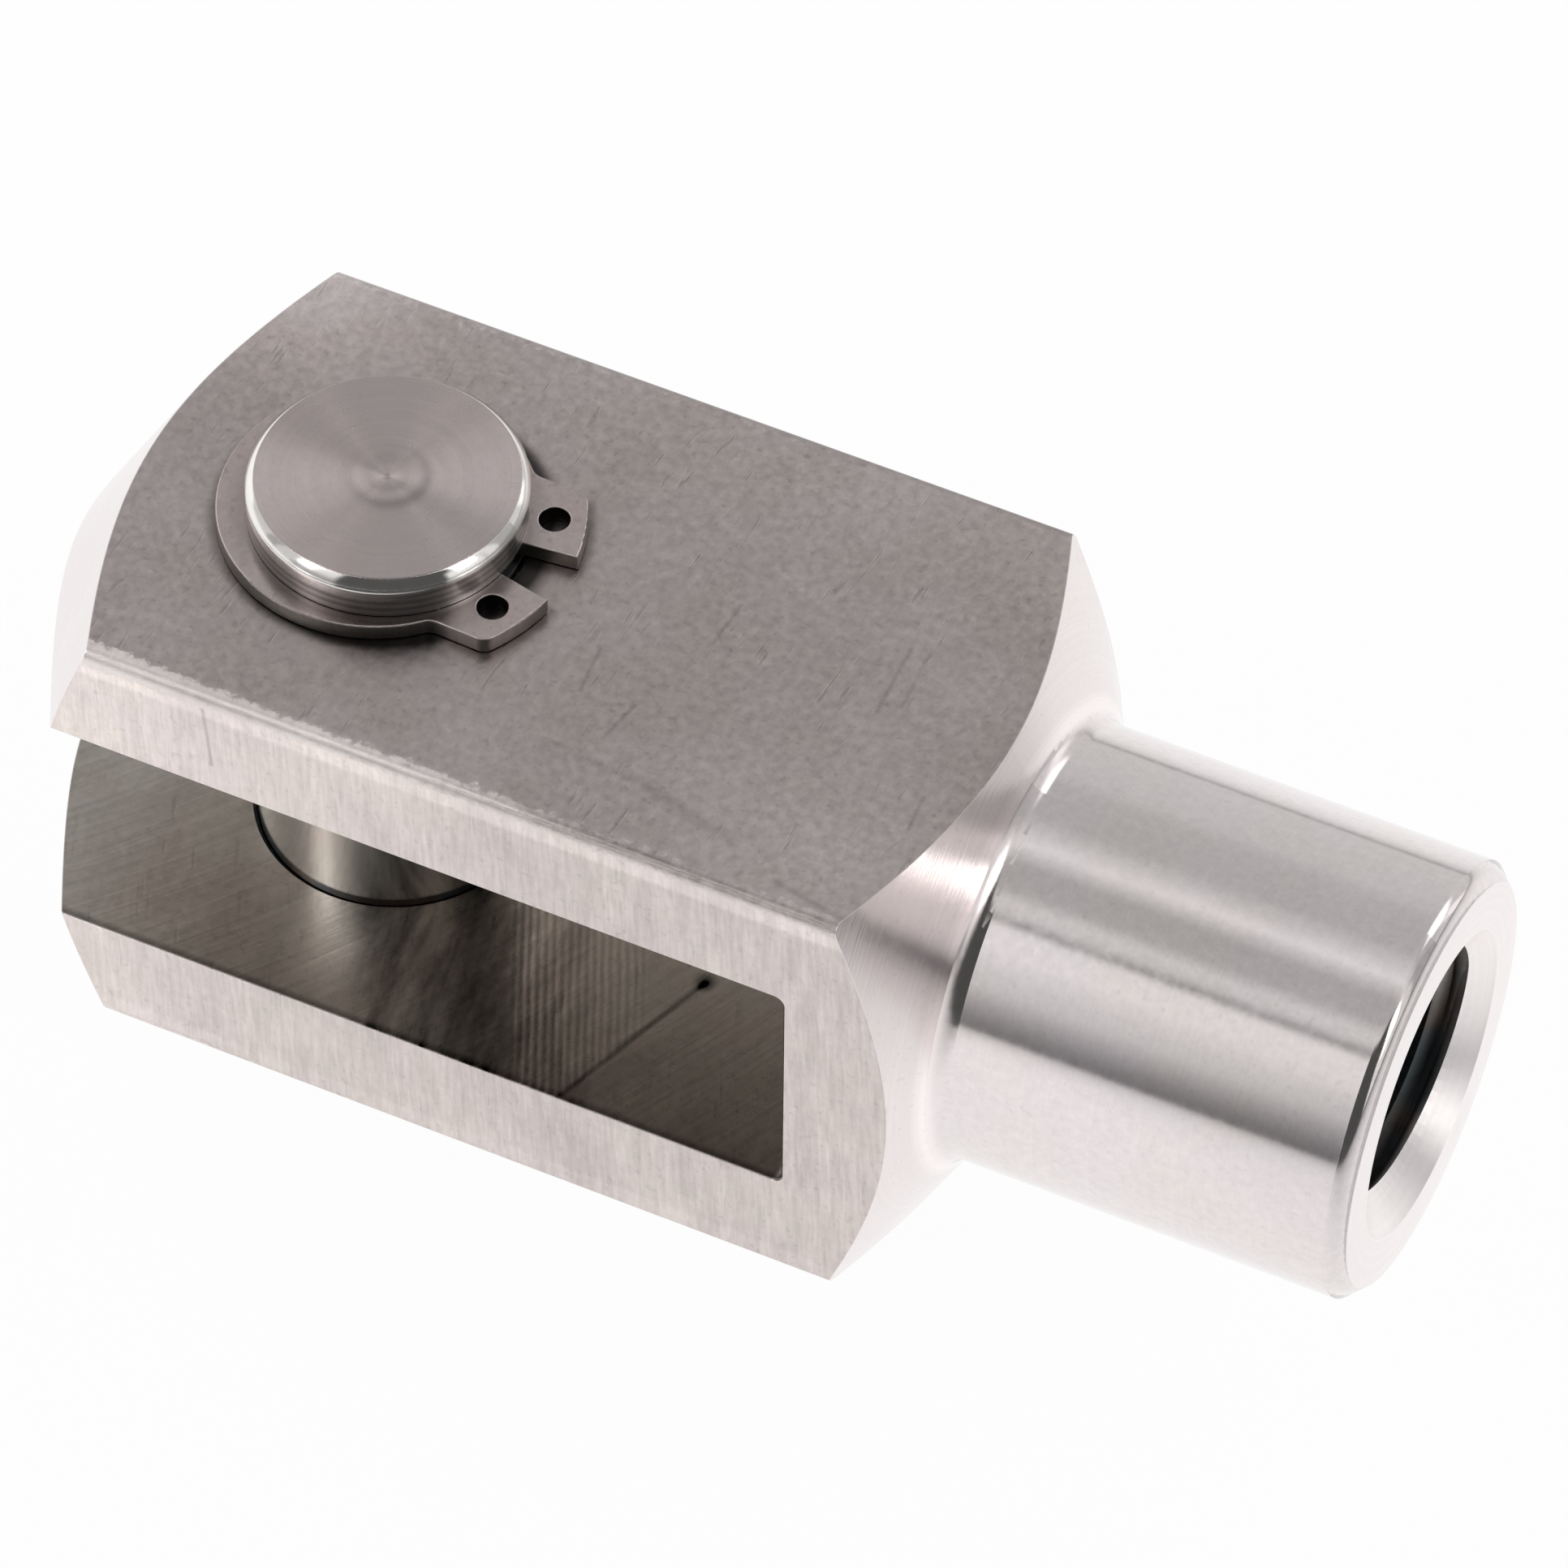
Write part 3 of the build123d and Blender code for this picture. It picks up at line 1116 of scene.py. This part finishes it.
@dataclass
class RetainingRing:
    """A retaining ring stamped from spring steel sheet."""

    side: Side
    gap: float
    near_face: float = 16.1
    far_face: float = 17.1
    hole_radius: float = 0.875
    hole_from_centre: float = 9.35
    hole_from_gap: float = math.radians(23.0)
    dirt_and_shade_near: float = 8.1
    dirt_and_shade_far: float = 9.4
    dirt_and_shade_darkness: float = 0.18
    hole_painted_shade: float = 0.8
    finish: RingFinish = RingFinish()

    def make(self) -> None:
        """Dresses the ring."""
        shader = MetalShader(f"{self.side.value}_ring_spring_steel")
        graph, x, y, z = shader.graph, shader.x, shader.y, shader.z
        # Darker towards the pin: grime and painted shade where the ring meets the pin.
        dirt_and_shade = graph.length(x, y).rise(self.dirt_and_shade_far, self.dirt_and_shade_near) * self.dirt_and_shade_darkness
        face = shader.surface(
            self.finish.stamped_face, graph.vector(x * 2.5, y * 2.5, z * 2.5), tint=1.0 - dirt_and_shade
        )
        along = x * math.cos(self.gap) + y * math.sin(self.gap)
        across = abs(y * math.cos(self.gap) - x * math.sin(self.gap))
        from_hole = graph.length(
            along - self.hole_from_centre * math.cos(self.hole_from_gap),
            across - self.hole_from_centre * math.sin(self.hole_from_gap),
        )
        # Painted shade: the sheared walls inside the lug holes are darkened.
        in_hole = from_hole.up_to(self.hole_radius)
        edge = shader.surface(
            self.finish.sheared_edge,
            graph.vector(x * 4.0, y * 4.0, z * 0.6),
            tint=1.0 - in_hole * self.hole_painted_shade,
        )
        on_face = abs(z).band(self.far_face, OFF_FACE).most(abs(z).band(self.near_face, OFF_FACE))
        dress(f"{self.side.value}_retaining_ring", shader.finish(edge.under(face, on_face)))


# -------------------- studio


@dataclass(frozen=True)
class WallPanel:
    """A lit or dark panel that stands round the part, seen in its reflections.

    The azimuth is counted from +X towards +Y, and all angles are in degrees. A panel covers the
    ones before it.
    """

    name: str
    azimuth: float
    half_width: float
    low: float
    high: float
    level: float
    edge: float


@dataclass(frozen=True)
class StudioCamera:
    """A long lens over the fork's front right corner.

    Angles are in degrees and lengths in millimetres. The azimuth is counted from -Y towards +X.
    """

    azimuth: float = 24.62047
    elevation: float = 50.34144
    roll: float = 0.64893
    aside: float = 22.29069
    lowered: float = 4.54723
    distance: float = 682.53364
    sensor_width: float = 36.0
    focal_length: float = 274.236
    nearest: float = 10.0
    farthest: float = 100000.0

    def make(self) -> None:
        """Sets the camera up and makes it the scene's own."""
        azimuth = math.radians(self.azimuth)
        elevation = math.radians(self.elevation)
        flat = math.cos(elevation)
        away = Vector((flat * math.sin(azimuth), -flat * math.cos(azimuth), math.sin(elevation)))
        level = Vector((math.cos(azimuth), math.sin(azimuth), 0.0))
        right = Matrix.Rotation(math.radians(self.roll), 3, away) @ level
        up = away.cross(right)
        place = (right * self.aside - up * self.lowered + away * self.distance) * MM
        lens = bpy.data.cameras.new("studio_camera")
        lens.sensor_width = self.sensor_width
        lens.lens = self.focal_length
        lens.clip_start = self.nearest * MM
        lens.clip_end = self.farthest * MM
        camera = bpy.data.objects.new("studio_camera", lens)
        bpy.context.scene.collection.objects.link(camera)
        axes = Matrix((right, up, away)).transposed()
        camera.matrix_world = Matrix.Translation(place) @ axes.to_4x4()
        bpy.context.scene.camera = camera


@dataclass
class Studio:
    """A pale floor under a studio ceiling lit in long soft bands beside the rod."""

    floor_level: float = -19.8
    floor_half_size: float = 20000.0
    floor_glow: float = 0.97
    floor_grey: float = 0.9
    window_azimuth: float = math.radians(157.0)
    floor_fade_start: float = 0.06
    floor_fade: float = 0.17
    far_fade_start: float = 0.10
    far_fade: float = 0.90
    panels: tuple[WallPanel, ...] = (
        WallPanel("left wall", -172.0, 34.0, -30.0, 44.0, 0.60, 8.0),
        WallPanel("left glow", 163.0, 12.0, -30.0, 5.0, 1.12, 7.0),
        WallPanel("left flag", -154.0, 3.5, -30.0, 40.0, 0.38, 3.0),
        WallPanel("front dark", -58.5, 39.5, -30.0, 58.0, 0.08, 6.0),
        WallPanel("left softbox", -126.0, 5.2, 22.0, 53.0, 4.3, 2.0),
        WallPanel("right wall", 26.0, 8.0, -30.0, 44.0, 0.42, 4.0),
        WallPanel("right strip", 14.0, 3.0, -30.0, 40.0, 0.78, 4.0),
        WallPanel("right glow", -8.0, 12.0, 4.0, 26.0, 0.85, 5.0),
        WallPanel("right softbox", -5.0, 6.8, 23.0, 48.0, 4.6, 2.6),
        WallPanel("back right glow", 58.0, 5.0, -30.0, 20.0, 1.12, 5.0),
        WallPanel("back left soft", 152.0, 12.0, 34.0, 54.0, 1.45, 8.0),
        WallPanel("back right soft", 72.0, 14.0, 30.0, 50.0, 1.45, 8.0),
    )
    # Angle above the far horizon, and how bright the ceiling is there.
    bands: tuple[tuple[float, float], ...] = (
        (0.0, 0.69), (12.0, 0.67), (35.0, 0.62), (45.0, 0.52), (66.0, 0.50),
        (76.0, 0.68), (83.0, 0.86), (88.0, 0.66), (94.0, 0.46), (107.0, 0.48),
        (114.0, 0.74), (119.0, 0.66), (123.0, 0.30), (127.0, 0.86), (138.0, 0.88),
        (150.0, 0.73), (157.0, 0.68), (165.0, 0.48), (173.0, 0.30), (180.0, 0.18),
    )
    camera: StudioCamera = StudioCamera()

    def make_floor(self) -> None:
        """Lays the floor, white where it is seen and still taking a soft shadow."""
        work = bmesh.new()
        bmesh.ops.create_grid(work, x_segments=1, y_segments=1, size=self.floor_half_size * MM)
        bmesh.ops.translate(work, vec=(0.0, 0.0, self.floor_level * MM), verts=work.verts)
        mesh = bpy.data.meshes.new("studio_floor")
        work.to_mesh(mesh)
        work.free()
        floor = bpy.data.objects.new("studio_floor", mesh)
        bpy.context.scene.collection.objects.link(floor)
        mesh.materials.append(self._floor_material())

    def _floor_material(self) -> bpy.types.Material:
        """White paint whose reflection on metal fades away from the window.

        Returns:
            The floor's material.
        """
        material = bpy.data.materials.new("studio_floor_white")
        material.use_nodes = True
        material.cycles.emission_sampling = "NONE"
        graph = Graph(material.node_tree)
        x, y, _ = graph.split(graph.node("ShaderNodeTexCoord").outputs["Object"])
        towards_window = x * math.cos(self.window_azimuth) + y * math.sin(self.window_azimuth)
        beyond = (-towards_window - self.floor_fade_start).most(0.0)
        far = (y + x * 0.5 - self.far_fade_start).most(0.0)
        fade = 1.0 + beyond / self.floor_fade + far / self.far_fade
        path = graph.node("ShaderNodeLightPath")
        looked_at = Wire(graph, path.outputs["Is Camera Ray"])
        glossy = Wire(graph, path.outputs["Is Glossy Ray"])
        mirrored = glossy + Wire(graph, path.outputs["Is Transmission Ray"])
        level = graph.mix(looked_at, 1.0 / fade, 1.0)
        paint = graph.node("ShaderNodeBsdfDiffuse", None, {"Color": (self.floor_grey,) * 3})
        glow = graph.node("ShaderNodeEmission", None, {"Color": WHITE, "Strength": level})
        seen = (looked_at + mirrored).least(1.0) * self.floor_glow
        mixed = graph.node(
            "ShaderNodeMixShader", None, {0: seen, 1: paint.outputs[0], 2: glow.outputs[0]}
        )
        graph.node("ShaderNodeOutputMaterial", None, {"Surface": mixed.outputs[0]})
        return material

    def make_sky(self) -> None:
        """Lights the ceiling in bands by the angle round the rod's axis."""
        world = bpy.data.worlds.new("studio_ceiling")
        world.use_nodes = True
        world.cycles.sampling_method = "NONE"
        bpy.context.scene.world = world
        graph = Graph(world.node_tree)
        direction = graph.node("ShaderNodeTexCoord").outputs["Generated"]
        x, y, z = graph.split(direction)
        angle = graph.math("ARCTAN2", z, y) / math.pi
        azimuth = graph.math("DEGREES", graph.math("ARCTAN2", y, x))
        elevation = graph.math("DEGREES", graph.math("ARCSINE", z))
        ramp = graph.node(
            "ShaderNodeValToRGB",
            {"stops": [(turned / 180.0, level) for turned, level in self.bands]},
            {"Fac": angle},
        )
        level = Wire(graph, ramp.outputs["Color"])
        for panel in self.panels:
            aside = graph.math("WRAP", azimuth - panel.azimuth, 180.0, -180.0)
            share = abs(aside).rise(panel.half_width + panel.edge, panel.half_width)
            share = share * elevation.between(panel.low, panel.high, panel.edge)
            level = graph.mix(share, level, panel.level)
            level.socket.node.label = panel.name
        background = graph.node("ShaderNodeBackground", None, {"Color": WHITE, "Strength": level})
        graph.node("ShaderNodeOutputWorld", None, {"Surface": background.outputs[0]})

    def make(self) -> None:
        """Builds the floor, the light and the camera."""
        bpy.context.scene.view_settings.view_transform = "Standard"
        self.make_floor()
        self.make_sky()
        self.camera.make()
        log.info("studio: floor, ceiling and camera set")


def main() -> None:
    """Builds the studio and dresses the clevis, piece by piece."""
    logging.basicConfig(level=logging.INFO, format="%(message)s")
    Studio().make()
    fork = Fork()
    fork.make()
    Pin().make()
    RetainingRing(Side.UPPER, fork.upper_gap).make()
    RetainingRing(Side.LOWER, fork.lower_gap).make()


if __name__ == "__main__":
    main()
